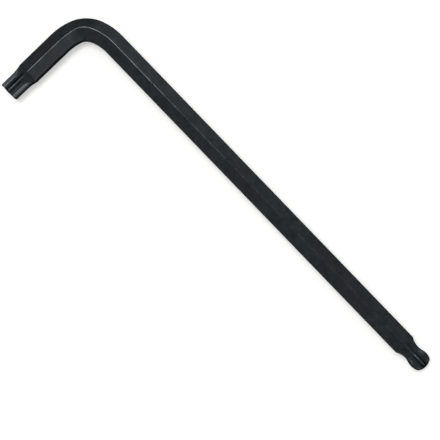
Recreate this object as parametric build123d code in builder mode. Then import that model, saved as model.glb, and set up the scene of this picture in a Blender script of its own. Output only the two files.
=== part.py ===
from build123d import *
import os
from math import cos, pi, radians, sin, sqrt

# Star-drive key: an L-shaped driver bent from one length of hexagonal bar.
# The short arm ends in a straight six-lobed star, the long arm in a six-lobed ball.
# Millimetres. The key lies flat: the long arm runs along +X, the short arm along -Y, +Z is up.
# The origin is the middle of the key's box, on the surface that the key lies on.

# Overall sizes
long_reach = 121.5  # outer flat of the short arm to the end of the ball
short_reach = 29.5  # outer flat of the long arm to the end of the straight star

# Hexagonal bar
bar_sides = 6
across_flats = 5.556
bar_corner_radius = 0.5

# Bend: a tight arc in the middle, eased into each arm by a wider arc, measured on the centreline
bend_radius = 6.85
ease_radius = 13.3
ease_angle = 20.0

# Straight star on the short arm
star_point_to_point = 5.42
star_groove_depth = 0.76
star_lobe_radius = 0.45
star_length = 3.6  # full grooves, from the end of the arm to where the shoulder starts
star_shoulder_length = 3.1  # from full grooves to full hexagon
star_end_chamfer = 0.25  # turned, at 45 degrees

# Star ball on the long arm
ball_point_to_point = 5.51  # at its widest place
ball_groove_depth = 0.765
ball_lobe_radius = 0.45
ball_end_point_to_point = 3.18  # where the ball's sphere would meet its end
ball_end_diameter = 2.2  # of the flat that is left on the end
ball_end_slope = 2.0  # how much the turned cone behind that flat widens for its depth
ball_to_neck = 2.5  # from the widest place to the narrowest
neck_relief = 0.45  # how far the neck lies under the ball, at the lobes
neck_groove_depth = 0.49
ball_shoulder_length = 2.7  # from the neck to the full hexagon

# How finely the ends are shaped, and how far the shaping runs clear of the bar
ball_front_steps = 4
ball_back_steps = 5
shoulder_steps = 4
shoulder_overrun = 1.12  # as a share of a shoulder's length
clear_of_bar = 1.5

# Sizes that follow
lobe_count = bar_sides  # a lobe on each corner
half_pitch = radians(180 / lobe_count)
bar_flat_reach = across_flats / 2
bar_corner_reach = bar_flat_reach / cos(half_pitch) - bar_corner_radius * (1 / cos(half_pitch) - 1)
star_reach = star_point_to_point / 2
star_valley = star_reach - star_groove_depth
ball_reach = ball_point_to_point / 2
ball_valley = ball_reach - ball_groove_depth
ball_depth = sqrt(ball_reach**2 - (ball_end_point_to_point / 2) ** 2)
neck_reach = ball_reach - neck_relief
neck_valley = neck_reach - neck_groove_depth
neck_depth = ball_depth + ball_to_neck
star_turning_depth = 2 * star_end_chamfer
ball_turning_depth = (ball_reach - ball_end_diameter / 2) / ball_end_slope
corner_x = bar_flat_reach - long_reach / 2
corner_y = short_reach / 2 - bar_flat_reach
ease_turn = radians(ease_angle)
main_turn = radians(90) - ease_turn
bend_setback = (
    ease_radius * sin(ease_turn)
    + bend_radius * (sin(main_turn) - sin(ease_turn))
    + ease_radius * (1 - sin(main_turn))
)

# A plane at each end face: its Z points into the bar, and its Y stands up on the bar's top corner.
star_end = Plane(origin=(corner_x, -short_reach / 2, bar_corner_reach), x_dir=(-1, 0, 0), z_dir=(0, 1, 0))
ball_end = Plane(origin=(long_reach / 2, corner_y, bar_corner_reach), x_dir=(0, -1, 0), z_dir=(-1, 0, 0))


def polar(radius, angle):
    """A point at a distance from the bar's axis, turned from the bar's top corner."""
    return Vector(radius * sin(angle), radius * cos(angle))


def star_section(end, depth, reach, valley, lobe_radius):
    """A six-lobed star at a depth from an end face, with a lobe on each corner of the bar.

    reach is from the axis to a lobe's top, valley from the axis to a groove's bottom.
    Lobes and grooves are arcs that run smoothly into each other, and a star whose
    grooves have opened out flat is the bar's own hexagon.
    """
    lobe_middle = reach - lobe_radius
    along = lobe_middle * cos(half_pitch)
    groove_radius = (lobe_middle**2 + valley**2 - 2 * along * valley - lobe_radius**2) / (
        2 * (lobe_radius + along - valley)
    )
    lobe_share = lobe_radius / (lobe_radius + groove_radius)
    with BuildSketch(end.offset(depth)) as section:
        with BuildLine():
            for lobe in range(lobe_count):
                top = 2 * half_pitch * lobe
                bottom = top + half_pitch
                lobe_centre = polar(lobe_middle, top)
                next_lobe_centre = polar(lobe_middle, top + 2 * half_pitch)
                last_groove_centre = polar(valley + groove_radius, top - half_pitch)
                groove_centre = polar(valley + groove_radius, bottom)
                lobe_start = lobe_centre + (last_groove_centre - lobe_centre) * lobe_share
                lobe_stop = lobe_centre + (groove_centre - lobe_centre) * lobe_share
                groove_stop = next_lobe_centre + (groove_centre - next_lobe_centre) * lobe_share
                ThreePointArc(lobe_start, polar(reach, top), lobe_stop)
                ThreePointArc(lobe_stop, polar(valley, bottom), groove_stop)
        make_face()
    return section.sketch


def shoulder(end, start, length, reach, valley, lobe_radius):
    """Sections that open a star out to the bar's hexagon, and a little past it.

    Lobes and grooves climb as parabolas that are level where the shoulder starts.
    """
    sections = []
    for step in range(1, shoulder_steps + 1):
        share = shoulder_overrun * step / shoulder_steps
        lobe_top = reach + (bar_corner_reach - reach) * share**2
        groove_bottom = valley + (bar_flat_reach - valley) * share**2
        sections.append(star_section(end, start + length * share, lobe_top, groove_bottom, lobe_radius))
    return sections


def star_tip_sections():
    """The foot of the straight star and its shoulder."""
    foot = star_section(star_end, star_length, star_reach, star_valley, star_lobe_radius)
    return [foot] + shoulder(
        star_end, star_length, star_shoulder_length, star_reach, star_valley, star_lobe_radius
    )


def ball_sections():
    """The ball from its end face over its widest place to the neck, then the shoulder."""
    sections = []
    for step in range(ball_front_steps):
        # The front is a sphere as wide as the lobes, and the whole star shrinks towards the end.
        depth = ball_depth * step / ball_front_steps
        share = sqrt(1 - ((ball_depth - depth) / ball_reach) ** 2)
        sections.append(
            star_section(ball_end, depth, ball_reach * share, ball_valley * share, ball_lobe_radius * share)
        )
    for step in range(ball_back_steps + 1):
        # The back falls to the neck as half a cosine wave.
        depth = ball_depth + ball_to_neck * step / ball_back_steps
        share = (1 + cos(pi * step / ball_back_steps)) / 2
        lobe_top = neck_reach + (ball_reach - neck_reach) * share
        groove_bottom = neck_valley + (ball_valley - neck_valley) * share
        sections.append(star_section(ball_end, depth, lobe_top, groove_bottom, ball_lobe_radius))
    return sections + shoulder(
        ball_end, neck_depth, ball_shoulder_length, neck_reach, neck_valley, ball_lobe_radius
    )


# What is taken off the bar around the straight star: a ring whose inside is the star and its shoulder
ring_radius = bar_corner_reach + clear_of_bar
with BuildPart() as star_waste:
    with BuildSketch(star_end):
        Circle(ring_radius)
    extrude(amount=star_length + star_shoulder_length * shoulder_overrun)
    extrude(
        star_section(star_end, 0, star_reach, star_valley, star_lobe_radius),
        amount=star_length,
        dir=star_end.z_dir,
        mode=Mode.SUBTRACT,
    )
    loft(star_tip_sections(), mode=Mode.SUBTRACT)

# The same around the ball
with BuildPart() as ball_waste:
    with BuildSketch(ball_end):
        Circle(ring_radius)
    extrude(amount=neck_depth + ball_shoulder_length * shoulder_overrun)
    loft(ball_sections(), mode=Mode.SUBTRACT)

# What is turned off each end face's edge: a ring whose inside is a cone
with BuildPart() as star_turning:
    with BuildSketch(star_end):
        Circle(ring_radius)
    extrude(amount=star_turning_depth)
    with BuildSketch(star_end):
        Circle(star_reach - star_end_chamfer)
    with BuildSketch(star_end.offset(star_turning_depth)):
        Circle(star_reach - star_end_chamfer + star_turning_depth)
    loft(mode=Mode.SUBTRACT)
with BuildPart() as ball_turning:
    with BuildSketch(ball_end):
        Circle(ring_radius)
    extrude(amount=ball_turning_depth)
    with BuildSketch(ball_end):
        Circle(ball_end_diameter / 2)
    with BuildSketch(ball_end.offset(ball_turning_depth)):
        Circle(ball_end_diameter / 2 + ball_end_slope * ball_turning_depth)
    loft(mode=Mode.SUBTRACT)

# The key: hexagonal bar carried round the bend, with a star shaped on each end
with BuildPart() as star_key:
    with BuildLine(Plane.XY.offset(bar_corner_reach)) as centreline:
        short_arm = Line((corner_x, -short_reach / 2), (corner_x, corner_y - bend_setback))
        ease_in = JernArc(short_arm @ 1, short_arm % 1, ease_radius, -ease_angle)
        bend = JernArc(ease_in @ 1, ease_in % 1, bend_radius, 2 * ease_angle - 90)
        ease_out = JernArc(bend @ 1, bend % 1, ease_radius, -ease_angle)
        Line(ease_out @ 1, (long_reach / 2, corner_y))
    with BuildSketch(star_end):
        hexagon = RegularPolygon(bar_flat_reach, bar_sides, major_radius=False, rotation=180 / bar_sides)
        fillet(hexagon.vertices(), bar_corner_radius)
    sweep()
    add(star_waste.part, mode=Mode.SUBTRACT)
    add(ball_waste.part, mode=Mode.SUBTRACT)
    add(star_turning.part, mode=Mode.SUBTRACT)
    add(ball_turning.part, mode=Mode.SUBTRACT)

os.makedirs("parts", exist_ok=True)
star_key.part.label = "star_key"
export_step(star_key.part, "parts/star_key.step")
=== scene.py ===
import math

import bpy
import numpy as np
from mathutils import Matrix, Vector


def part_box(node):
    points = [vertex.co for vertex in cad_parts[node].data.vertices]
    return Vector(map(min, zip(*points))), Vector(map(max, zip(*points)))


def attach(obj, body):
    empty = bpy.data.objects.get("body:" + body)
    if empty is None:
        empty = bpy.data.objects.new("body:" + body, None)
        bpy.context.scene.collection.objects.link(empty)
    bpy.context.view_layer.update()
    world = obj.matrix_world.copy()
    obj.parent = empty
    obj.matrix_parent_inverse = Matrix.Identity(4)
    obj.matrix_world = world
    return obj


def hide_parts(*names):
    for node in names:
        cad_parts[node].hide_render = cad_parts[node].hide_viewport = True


# A long-arm star-drive key of black-oxided alloy steel, lying flat on a pale table.
# Sizes are in millimetres and angles in degrees, and mm turns them into Blender's metres.

mm = 0.001

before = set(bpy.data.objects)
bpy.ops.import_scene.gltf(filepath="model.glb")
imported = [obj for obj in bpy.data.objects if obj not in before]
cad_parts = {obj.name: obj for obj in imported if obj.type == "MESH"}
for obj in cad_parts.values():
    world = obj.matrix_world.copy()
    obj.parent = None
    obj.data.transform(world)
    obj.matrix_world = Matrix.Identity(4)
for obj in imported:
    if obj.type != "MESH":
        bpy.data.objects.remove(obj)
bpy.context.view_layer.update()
boxLow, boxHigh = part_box("star_key")
print("stage: frame loaded")


def hexToLinear(hexColour):
    # An sRGB hex value as linear red, green, blue and a full alpha
    parts = [int(hexColour[i:i + 2], 16) / 255 for i in (1, 3, 5)]
    return [p / 12.92 if p <= 0.04045 else ((p + 0.055) / 1.055) ** 2.4 for p in parts] + [1.0]


def addNode(tree, kind, values=None, links=None, **settings):
    # One node, with its settings, the values of its sockets, and what is linked into them
    node = tree.nodes.new(kind)
    for name, value in settings.items():
        setattr(node, name, value)
    for socket, value in (values or {}).items():
        node.inputs[socket].default_value = value
    for socket, source in (links or {}).items():
        tree.links.new(source, node.inputs[socket])
    return node


def emptyMaterial(name):
    material = bpy.data.materials.new(name)
    material.use_nodes = True
    material.node_tree.nodes.clear()
    return material, material.node_tree


barShape = {
    "sides": 6,
    "acrossFlats": 5.556,
    "cornerRadius": 0.5,
    "bendRadius": 6.85,  # of the centreline, in the middle of the bend
    "easeRadius": 13.3,  # of the centreline, where the bend runs into each arm
    "easeAngle": 20.0,
    "strainAt": 23.6,  # from the star's end to where bending has strained the section most
    "strainSpan": 2.7,
    "ridgePush": 0.45,  # how far the upper and lower corners are drawn to the outside there
    "innerPull": 0.17,  # how far the inner flat is drawn after them
}
starShape = {
    "pointToPoint": 5.42,
    "grooveDepth": 0.76,
    "lobeRadius": 0.45,
    "length": 3.6,  # full grooves, up to the shoulder
    "shoulder": 3.1,
    "chamfer": 0.25,  # turned, at 45 degrees
}
ballShape = {
    "pointToPoint": 5.51,
    "grooveDepth": 0.765,
    "lobeRadius": 0.45,
    "endPointToPoint": 3.18,  # where the ball's sphere would meet its end
    "endDiameter": 2.2,  # of the flat that is left there
    "endSlope": 2.0,  # how much the turned cone behind it widens for its depth
    "toNeck": 2.5,  # from the widest place to the narrowest
    "neckRelief": 0.45,
    "neckGrooveDepth": 0.49,
    "shoulder": 2.7,
}
meshSteps = {
    "lobe": 12,  # faces round a lobe or a corner
    "groove": 14,  # faces across a groove or a flat
    "end": 0.09,  # mm between rings on the shaped ends
    "tip": 0.7,  # mm of the ball's end that the turned cone crosses
    "bend": 0.3,
    "arm": 1.2,
    "edge": 0.03,  # mm each side of an edge, which leaves it crisp but not razor-sharp
    "clear": 0.045,  # mm each side of an edge with no other rings
    "cap": (0.15, 0.4, 0.7, 0.9, 0.975),  # rings on an end face, as shares of its outline
}

halfPitch = math.pi / barShape["sides"]
flatReach = barShape["acrossFlats"] / 2
cornerReach = flatReach / math.cos(halfPitch)
cornerReach -= barShape["cornerRadius"] * (1 / math.cos(halfPitch) - 1)
longReach = (boxHigh.x - boxLow.x) / mm
shortReach = (boxHigh.y - boxLow.y) / mm
ballWidest = math.sqrt(ballShape["pointToPoint"] ** 2 - ballShape["endPointToPoint"] ** 2) / 2


def bendStretches():
    # The centreline's stretches as (length, turn): short arm, three arcs of the bend, long arm
    ease = math.radians(barShape["easeAngle"])
    main = math.pi / 2 - 2 * ease
    setback = barShape["easeRadius"] * (math.sin(ease) + 1 - math.cos(ease))
    setback += barShape["bendRadius"] * (math.cos(ease) - math.sin(ease))
    easing = (barShape["easeRadius"] * ease, ease)
    return (
        (shortReach - flatReach - setback, 0.0),
        easing,
        (barShape["bendRadius"] * main, main),
        easing,
        (longReach - flatReach - setback, 0.0),
    )


stretches = bendStretches()
barLength = sum(length for length, turn in stretches)


def centreline(distance):
    # Where the bar's axis is, and its heading, at distances from the star's end. Each stretch adds
    # its own part of the way: straight ahead on a line, and on an arc the change of the heading's
    # sine and cosine times the radius.
    x = np.full(distance.shape, flatReach - longReach / 2)
    y = np.full(distance.shape, -shortReach / 2)
    heading = np.full(distance.shape, math.pi / 2)
    start, startHeading = 0.0, math.pi / 2
    for length, turn in stretches:
        way = np.clip(distance - start, 0, length)
        if turn:
            radius = length / turn
            turned = startHeading - way / radius
            x += radius * (math.sin(startHeading) - np.sin(turned))
            y += radius * (np.cos(turned) - math.cos(startHeading))
            heading -= way / radius
        else:
            x += way * math.cos(startHeading)
            y += way * math.sin(startHeading)
        start, startHeading = start + length, startHeading - turn
    return x, y, heading


def climb(share, low, high):
    # A parabola from low, where it is level, up to high at a share of 1, and level after that
    return low + (high - low) * np.clip(share, 0, 1) ** 2


def starEndSizes(depth):
    # Reach to a lobe's top, reach to a groove's bottom, and lobe radius, at depths from the star's
    # end: full grooves, then a parabola up to the hexagon
    reach = starShape["pointToPoint"] / 2
    share = (depth - starShape["length"]) / starShape["shoulder"]
    return (
        climb(share, reach, cornerReach),
        climb(share, reach - starShape["grooveDepth"], flatReach),
        climb(share, starShape["lobeRadius"], barShape["cornerRadius"]),
    )


def ballEndSizes(depth):
    # The same at depths from the ball's end: the whole star shrinks towards the end as a sphere
    # does, falls to the neck as half a cosine wave, and climbs to the hexagon as a parabola
    reach = ballShape["pointToPoint"] / 2
    neckReach = reach - ballShape["neckRelief"]
    front = np.sqrt(1 - ((ballWidest - np.clip(depth, 0, ballWidest)) / reach) ** 2)
    wave = (1 + np.cos(math.pi * np.clip((depth - ballWidest) / ballShape["toNeck"], 0, 1))) / 2
    share = (depth - ballWidest - ballShape["toNeck"]) / ballShape["shoulder"]

    def joined(ball, neck, bar):
        behind = np.where(share > 0, climb(share, neck, bar), neck + (ball - neck) * wave)
        return np.where(depth < ballWidest, ball * front, behind)

    valley = reach - ballShape["grooveDepth"]
    neckValley = neckReach - ballShape["neckGrooveDepth"]
    lobe = ballShape["lobeRadius"]
    return (
        joined(reach, neckReach, cornerReach),
        joined(valley, neckValley, flatReach),
        joined(lobe, lobe, barShape["cornerRadius"]),
    )


def turnedReach(distance):
    # How far out the cones turned on the two ends let the steel reach: the radius of the flat
    # that each leaves, plus its slope times the depth
    starCone = starShape["pointToPoint"] / 2 - starShape["chamfer"] + distance
    ballCone = ballShape["endDiameter"] / 2 + ballShape["endSlope"] * (barLength - distance)
    return np.minimum(starCone, ballCone)


def starOutline(reach, valley, lobe):
    # Points round a six-lobed star, as (rings, points) across and up, from arrays of its sizes.
    # A lobe is an arc of radius lobe about a hub on the ray to its top. A groove is the arc that
    # touches its own bottom and the lobes on both sides. Its curvature is 2 (lobe + along -
    # valley), where along is the hub's reach along the groove's ray, over the square of the
    # hub's distance from the groove's bottom less the square of lobe. With no curvature it is a
    # flat, and the star is the bar's hexagon.
    reach, valley, lobe = (np.asarray(size, float)[:, None] for size in (reach, valley, lobe))
    hub = reach - lobe
    along = hub * math.cos(halfPitch)
    curvature = 2 * (lobe + along - valley) / (hub**2 + valley**2 - 2 * along * valley - lobe**2)
    stretch = 1 + lobe * curvature
    jointX = (math.cos(halfPitch) * (1 + valley * curvature) - curvature * hub) / stretch
    jointY = math.sin(halfPitch) * (1 + valley * curvature) / stretch
    lobeTurn = np.arctan2(jointY, jointX)
    halfGroove = (hub + lobe * jointX) * math.sin(halfPitch) - lobe * jointY * math.cos(halfPitch)
    spread = np.arange(meshSteps["lobe"]) / meshSteps["lobe"] * 2 - 1
    lobeOut, lobeSide = hub + lobe * np.cos(spread * lobeTurn), lobe * np.sin(spread * lobeTurn)
    grooveSide = halfGroove * (np.arange(meshSteps["groove"]) / meshSteps["groove"] * 2 - 1)
    sag = curvature * grooveSide**2 / (1 + np.sqrt(1 - (curvature * grooveSide) ** 2))
    across, up = [], []
    for corner in range(barShape["sides"]):
        lobeAngle = 2 * halfPitch * corner + math.pi  # starts at the corner underneath
        grooveAngle = lobeAngle + halfPitch
        for out, side, angle in (
            (lobeOut, lobeSide, lobeAngle),
            (valley + sag, grooveSide, grooveAngle),
        ):
            across.append(out * math.sin(angle) + side * math.cos(angle))
            up.append(out * math.cos(angle) - side * math.sin(angle))
    return np.hstack(across), np.hstack(up)


def strained(across, up, distance):
    # The section in the bend: a bell curve along the bar, times each point's height above the
    # side flats for the ridges, and times its share of the way in for the inner flat
    bell = np.exp(-(((distance - barShape["strainAt"]) / barShape["strainSpan"]) ** 2))
    flatTop = flatReach * math.tan(halfPitch)
    height = np.clip((np.abs(up) - flatTop) / (cornerReach - flatTop), 0, 1)
    inward = np.clip(-across / flatReach, 0, 1)
    return across + bell * (barShape["ridgePush"] * height + barShape["innerPull"] * inward)


def ringDistances():
    # Distances of the rings from the star's end: close together on the shaped ends, wider apart
    # round the bend and along the arms, with a pair astride each edge
    starFoot = starShape["length"] + starShape["shoulder"]
    ballFoot = ballWidest + ballShape["toNeck"] + ballShape["shoulder"]
    bendStart = stretches[0][0]
    bendStop = barLength - stretches[4][0]
    runs = (
        (0, 2 * starShape["chamfer"], meshSteps["edge"]),
        (2 * starShape["chamfer"], starFoot, meshSteps["end"]),
        (starFoot, bendStart, meshSteps["arm"]),
        (bendStart, bendStop, meshSteps["bend"]),
        (bendStop, barLength - ballFoot, meshSteps["arm"]),
        (barLength - ballFoot, barLength - meshSteps["tip"], meshSteps["end"]),
        (barLength - meshSteps["tip"], barLength, meshSteps["edge"]),
    )
    edges = (starFoot, barLength - ballFoot)
    grid = [
        np.linspace(start, stop, math.ceil((stop - start) / step) + 1) for start, stop, step in runs
    ]
    grid = np.unique(np.round(np.concatenate(grid), 6))
    for edge in edges:
        grid = grid[np.abs(grid - edge) > meshSteps["clear"]]
        grid = np.append(grid, [edge - meshSteps["edge"], edge + meshSteps["edge"]])
    return np.unique(grid)


def keySurface():
    # The whole key as one grid: the star outline carried along the centreline, with its sizes a
    # function of the distance, and each end face closed by shrinking its outline to a pole.
    # Beside the points it gives each one's place on the bar as if it were straight, and masks
    # that are 1 on the corners, on the shaped ends and on the end faces.
    distance = ringDistances()
    fromStar = starEndSizes(distance)
    fromBall = ballEndSizes(barLength - distance)
    sizes = [
        np.where(distance < barLength / 2, star, ball) for star, ball in zip(fromStar, fromBall)
    ]
    across, up = starOutline(*sizes)
    held = np.minimum(1, turnedReach(distance)[:, None] / np.hypot(across, up))

    cap = np.array(meshSteps["cap"])
    shrink = np.concatenate([cap, np.ones(len(distance)), cap[::-1]])[:, None]
    ring = np.arange(len(distance))
    ring = np.concatenate([np.zeros(len(cap), int), ring, np.full(len(cap), ring[-1])])
    across, up = (across * held)[ring] * shrink, (up * held)[ring] * shrink
    distance = distance[ring]
    across = strained(across, up, distance[:, None])
    rings, around = across.shape
    x, y, heading = (value[:, None] for value in centreline(distance))
    points = np.stack(
        [x - across * np.sin(heading), y + across * np.cos(heading), cornerReach + up], -1
    )
    ends = np.array([0.0, barLength])
    poleX, poleY = centreline(ends)[:2]
    poles = np.stack([poleX, poleY, np.full(2, cornerReach)], -1)

    onLobe = np.cos(np.linspace(-1, 1, meshSteps["lobe"], endpoint=False) * math.pi / 2)
    onLobe = np.tile(np.concatenate([onLobe, np.zeros(meshSteps["groove"])]), barShape["sides"])
    shaped = np.maximum(
        starShape["length"] + starShape["shoulder"] - distance,
        distance - barLength + ballWidest + ballShape["toNeck"] + ballShape["shoulder"],
    )
    marks = {
        "straightBar": np.stack([np.broadcast_to(distance[:, None], across.shape), across, up], -1),
        "corner": np.broadcast_to(onLobe, across.shape),
        "shaped": np.broadcast_to(np.clip(shaped, 0, 1)[:, None], across.shape),
        "endFace": np.broadcast_to((shrink < 1).astype(float), across.shape),
    }
    poleMarks = {
        "straightBar": np.stack([ends, np.zeros(2), np.zeros(2)], -1),
        "corner": np.zeros(2),
        "shaped": np.ones(2),
        "endFace": np.ones(2),
    }
    marks = {
        name: np.concatenate([mark.reshape((-1,) + mark.shape[2:]), poleMarks[name]])
        for name, mark in marks.items()
    }

    index = np.arange(rings * around).reshape(rings, around)
    beside = np.roll(index, -1, axis=1)
    quads = np.stack([index[:-1], index[1:], beside[1:], beside[:-1]], -1).reshape(-1, 4)
    starFan = np.stack([np.full(around, rings * around), index[0], beside[0]], -1)
    ballFan = np.stack([np.full(around, rings * around + 1), beside[-1], index[-1]], -1)
    return np.concatenate([points.reshape(-1, 3), poles]), [quads, starFan, ballFan], marks


def meshPiece(name, vertices, faceGroups):
    # A mesh object at the origin from arrays, with smooth faces. The place is in the mesh.
    mesh = bpy.data.meshes.new(name)
    corners = np.concatenate([faces.ravel() for faces in faceGroups])
    counts = np.concatenate([np.full(len(faces), faces.shape[1]) for faces in faceGroups])
    starts = np.concatenate([[0], np.cumsum(counts)[:-1]])
    mesh.vertices.add(len(vertices))
    mesh.vertices.foreach_set("co", (vertices * mm).astype(np.float32).ravel())
    mesh.loops.add(len(corners))
    mesh.loops.foreach_set("vertex_index", corners.astype(np.int32))
    mesh.polygons.add(len(counts))
    mesh.polygons.foreach_set("loop_start", starts.astype(np.int32))
    mesh.polygons.foreach_set("loop_total", counts.astype(np.int32))
    mesh.polygons.foreach_set("use_smooth", np.ones(len(counts), bool))
    mesh.update(calc_edges=True)
    mesh.validate()
    piece = bpy.data.objects.new(name, mesh)
    bpy.context.scene.collection.objects.link(piece)
    return piece


vertices, faceGroups, marks = keySurface()
starKeyBody = meshPiece("starKeyBody", vertices, faceGroups)
for name, mark in marks.items():
    kind, field = ("FLOAT_VECTOR", "vector") if mark.ndim == 2 else ("FLOAT", "value")
    attribute = starKeyBody.data.attributes.new(name, kind, "POINT")
    attribute.data.foreach_set(field, mark.astype(np.float32).ravel())
print("stage: key surface,", len(vertices), "points")


oxideLook = {
    "deep": "#202326",
    "pale": "#2b2f31",
    "brown": "#272727",  # where the oil has dried
    "speckle": "#36393b",
    "worn": "#414446",  # steel showing faintly through on the corners
    # kept dark partly for the oxide's own low reflection at grazing angles, partly as painted shade
    # that turns the slanting edges into dark outlines
    "edgeTint": "#474a4d",
    "roughness": 0.32,
    "cornerPolish": 0.18,  # how much smoother the corners are
    "cloudSize": 2.4,  # mm
    "stainSize": 9.0,
    "lineWidth": 0.22,  # drawing lines are near 0.02 mm, ten times as coarse here so that they show
    "lineLength": 14.0,
    "pitSize": 0.5,  # etched pits are under 0.05 mm, drawn coarser too
    "ringSpacing": 0.22,  # turning marks on the end faces, drawn at about twice their spacing
    "wavePeriod": 0.314,  # between the rings of a wave texture at a scale of 1
    "ringWander": 0.6,
    "noiseRoughness": 0.6,
    "lineDetail": 3.0,
    "cloudDetail": 4.0,
    "grainDetail": 2.0,
    "ringDetail": 1.0,
    "cloudRange": (0.3, 0.7),  # which part of each noise shows, and what it is turned into
    "stainRange": (0.5, 0.75),
    "stainShare": (0, 0.7),
    "speckleRange": (0.56, 0.72),
    "speckleShare": (0, 0.6),
    "rubRange": (0.45, 0.65),
    "rubShare": (0.05, 0.35),
    "glossRange": (0.3, 0.7),
    "lineGloss": (-0.04, 0.06),  # added to the roughness
    "pitGloss": (-0.03, 0.05),
    "pitHeight": 0.6,
    "bumpDepth": 0.02,
    "bumpStrength": 0.35,
}


def blackOxidedDrawnSteel():
    # Alloy steel bar, cold drawn, then blackened in a hot oxide bath and oiled. To the eye it is a
    # deep blue-grey with a soft sheen, fine lines along the bar, a faint cloudiness, corners
    # rubbed a little paler, and end faces with the rings of turning.
    material, tree = emptyMaterial("blackOxidedDrawnSteel")
    look = oxideLook

    place = addNode(tree, "ShaderNodeAttribute", attribute_name="straightBar").outputs["Vector"]
    corner, shaped, endFace = (
        addNode(tree, "ShaderNodeAttribute", attribute_name=name).outputs["Fac"]
        for name in ("corner", "shaped", "endFace")
    )
    squeeze = (look["lineWidth"] / look["lineLength"], 1, 1)
    alongBar = addNode(tree, "ShaderNodeMapping", {"Scale": squeeze}, {"Vector": place}).outputs[0]
    lines, clouds, stains, pits = (
        addNode(
            tree, "ShaderNodeTexNoise",
            {"Scale": 1 / size, "Detail": detail, "Roughness": look["noiseRoughness"]},
            {"Vector": where},
        ).outputs["Fac"]
        for size, detail, where in (
            (look["lineWidth"], look["lineDetail"], alongBar),
            (look["cloudSize"], look["cloudDetail"], place),
            (look["stainSize"], look["grainDetail"], place),
            (look["pitSize"], look["grainDetail"], place),
        )
    )
    rings = addNode(
        tree, "ShaderNodeTexWave",
        {
            "Scale": look["wavePeriod"] / look["ringSpacing"],
            "Distortion": look["ringWander"],
            "Detail": look["ringDetail"],
        },
        {"Vector": place}, wave_type="RINGS", rings_direction="X",
    ).outputs["Fac"]
    onBar = addNode(
        tree, "ShaderNodeMath", {0: 1.0}, {1: shaped}, operation="SUBTRACT",
    ).outputs[0]
    onCorner = addNode(
        tree, "ShaderNodeMath", None, {0: corner, 1: onBar}, operation="MULTIPLY",
    ).outputs[0]
    barLines = addNode(
        tree, "ShaderNodeMath", None, {0: lines, 1: onBar}, operation="MULTIPLY",
    ).outputs[0]

    # Each noise's useful part as a share of a colour, or as what it adds to the roughness
    pitRoughness = [look["roughness"] + change for change in look["pitGloss"]]
    cloudy, stained, speckled, rubbed, lineRough, pitRough = (
        addNode(
            tree, "ShaderNodeMapRange",
            {"From Min": low, "From Max": high, "To Min": toLow, "To Max": toHigh},
            {"Value": source},
        ).outputs[0]
        for source, (low, high), (toLow, toHigh) in (
            (clouds, look["cloudRange"], (0, 1)),
            (stains, look["stainRange"], look["stainShare"]),
            (pits, look["speckleRange"], look["speckleShare"]),
            (clouds, look["rubRange"], look["rubShare"]),
            (barLines, look["glossRange"], look["lineGloss"]),
            (pits, look["glossRange"], pitRoughness),
        )
    )
    rubbedCorner = addNode(
        tree, "ShaderNodeMath", None, {0: corner, 1: rubbed}, operation="MULTIPLY",
    ).outputs[0]

    # The colour in layers, each over the last
    colour = addNode(
        tree, "ShaderNodeMix", {6: hexToLinear(look["deep"]), 7: hexToLinear(look["pale"])},
        {0: cloudy}, data_type="RGBA",
    ).outputs[2]
    for share, layer in ((stained, "brown"), (speckled, "speckle"), (rubbedCorner, "worn")):
        colour = addNode(
            tree, "ShaderNodeMix", {7: hexToLinear(look[layer])}, {0: share, 6: colour},
            data_type="RGBA",
        ).outputs[2]

    satin = addNode(
        tree, "ShaderNodeMath", None, {0: lineRough, 1: pitRough}, operation="ADD",
    ).outputs[0]
    roughness = addNode(
        tree, "ShaderNodeMath", {1: -look["cornerPolish"]}, {0: onCorner, 2: satin},
        operation="MULTIPLY_ADD",
    ).outputs[0]
    grain = addNode(
        tree, "ShaderNodeMath", {1: look["pitHeight"]}, {0: pits, 2: barLines},
        operation="MULTIPLY_ADD",
    ).outputs[0]
    height = addNode(
        tree, "ShaderNodeMath", None, {0: rings, 1: endFace, 2: grain}, operation="MULTIPLY_ADD",
    ).outputs[0]
    bump = addNode(
        tree, "ShaderNodeBump",
        {"Strength": look["bumpStrength"], "Distance": look["bumpDepth"] * mm}, {"Height": height},
    ).outputs[0]
    # The dark edge tint dims reflections at grazing angles: partly the oxide's own, partly painted
    # shade that outlines the silhouettes
    shader = addNode(
        tree, "ShaderNodeBsdfPrincipled",
        {"Metallic": 1.0, "Specular Tint": hexToLinear(look["edgeTint"])},
        {"Base Color": colour, "Roughness": roughness, "Normal": bump},
    )
    addNode(tree, "ShaderNodeOutputMaterial", links={"Surface": shader.outputs[0]})
    return material


starKeyBody.data.materials.append(blackOxidedDrawnSteel())
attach(starKeyBody, "root")
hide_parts("star_key")
print("stage: steel finish")


view = {
    "height": 336.8,  # above the middle of the bar
    "foot": (0.25, 0.72),  # the point straight below it
    "turn": 46.03,
    "lens": 112.8,
    "sensor": 36.0,
    "nearest": 10.0,  # that it sees
}
camera = bpy.data.objects.new("viewCamera", bpy.data.cameras.new("viewCamera"))
camera.data.lens = view["lens"]
camera.data.sensor_width = view["sensor"]
camera.data.clip_start = view["nearest"] * mm
camera.location = (view["foot"][0] * mm, view["foot"][1] * mm, (view["height"] + cornerReach) * mm)
camera.rotation_euler = (0, 0, math.radians(view["turn"]))
bpy.context.scene.collection.objects.link(camera)
bpy.context.scene.camera = camera


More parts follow.
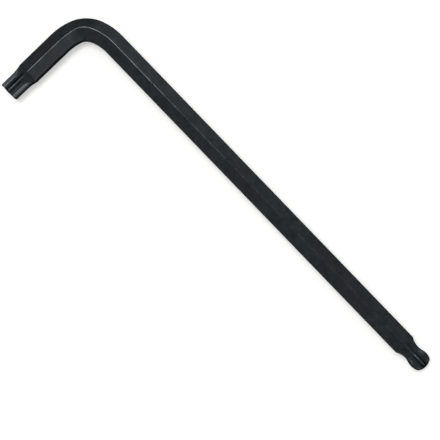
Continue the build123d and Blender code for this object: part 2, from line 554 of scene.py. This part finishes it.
def backgroundRays(tree):
    # 1 for a ray from the camera, and for one that metal reflects or glass lets through
    rays = addNode(tree, "ShaderNodeLightPath")
    glossy = addNode(
        tree, "ShaderNodeMath", None,
        {0: rays.outputs["Is Camera Ray"], 1: rays.outputs["Is Glossy Ray"]}, operation="ADD",
    )
    seen = addNode(
        tree, "ShaderNodeMath", None,
        {0: glossy.outputs[0], 1: rays.outputs["Is Transmission Ray"]},
        operation="ADD", use_clamp=True,
    )
    return seen.outputs[0]


table = {
    "half": 3000.0,
    "colour": "#e6e6e4",
    "roughness": 0.9,
    "glow": 0.37,  # with the light on it this makes it just white, where the key's shadow isn't
}


def paleTable():
    # A matt white laminate sweep: even and pale, with the key's soft shadow on it
    material, tree = emptyMaterial("whiteLaminateTable")
    strength = addNode(
        tree, "ShaderNodeMath", {1: table["glow"]}, {0: backgroundRays(tree)}, operation="MULTIPLY",
    )
    shader = addNode(
        tree, "ShaderNodeBsdfPrincipled",
        {
            "Base Color": hexToLinear(table["colour"]),
            "Roughness": table["roughness"],
            "Specular IOR Level": 0.0,
            "Emission Color": hexToLinear("#ffffff"),
        },
        {"Emission Strength": strength.outputs[0]},
    )
    addNode(tree, "ShaderNodeOutputMaterial", links={"Surface": shader.outputs[0]})
    return material


half = table["half"] * mm
floorMesh = bpy.data.meshes.new("paleTable")
floorCorners = [(-half, -half, 0), (half, -half, 0), (half, half, 0), (-half, half, 0)]
floorMesh.from_pydata(floorCorners, [], [(0, 1, 2, 3)])
floorMesh.materials.append(paleTable())
floor = bpy.data.objects.new("paleTable", floorMesh)
bpy.context.scene.collection.objects.link(floor)

# The sky lights the key, and the backdrop is what a camera, metal or glass sees of it
studio = {"sky": 0.44, "backdrop": 1.0}
world = bpy.data.worlds.new("studio")
world.use_nodes = True
world.node_tree.nodes.clear()
sky, backdrop = (
    addNode(
        world.node_tree, "ShaderNodeBackground",
        {"Color": hexToLinear("#ffffff"), "Strength": studio[name]},
    )
    for name in ("sky", "backdrop")
)
chosen = addNode(
    world.node_tree, "ShaderNodeMixShader", None,
    {0: backgroundRays(world.node_tree), 1: sky.outputs[0], 2: backdrop.outputs[0]},
)
addNode(world.node_tree, "ShaderNodeOutputWorld", links={"Surface": chosen.outputs[0]})
bpy.context.scene.world = world

# Soft boxes, each turned to face the key. The place is a box's middle, and the glow is its
# brightness where the white table is 1: its energy is that times pi times its area.
softBoxes = {
    "overheadBox": {"place": (-300, 20, 1200), "size": (300, 480), "glow": 16.0},
    "outerSideBox": {"place": (-350, 1040, 600), "size": (500, 500), "glow": 1.15},
    "innerSideBox": {"place": (930, 0, 750), "size": (500, 500), "glow": 1.4},
}
for name, box in softBoxes.items():
    lamp = bpy.data.lights.new(name, "AREA")
    lamp.shape = "RECTANGLE"
    lamp.size, lamp.size_y = (side * mm for side in box["size"])
    lamp.energy = box["glow"] * math.pi * lamp.size * lamp.size_y
    x, y, z = box["place"]
    lampObject = bpy.data.objects.new(name, lamp)
    lampObject.location = (x * mm, y * mm, z * mm)
    lampObject.rotation_euler = (0, math.atan2(math.hypot(x, y), z), math.atan2(y, x))
    bpy.context.scene.collection.objects.link(lampObject)
bpy.context.scene.view_settings.view_transform = "Standard"
print("stage: table, camera and lamps")
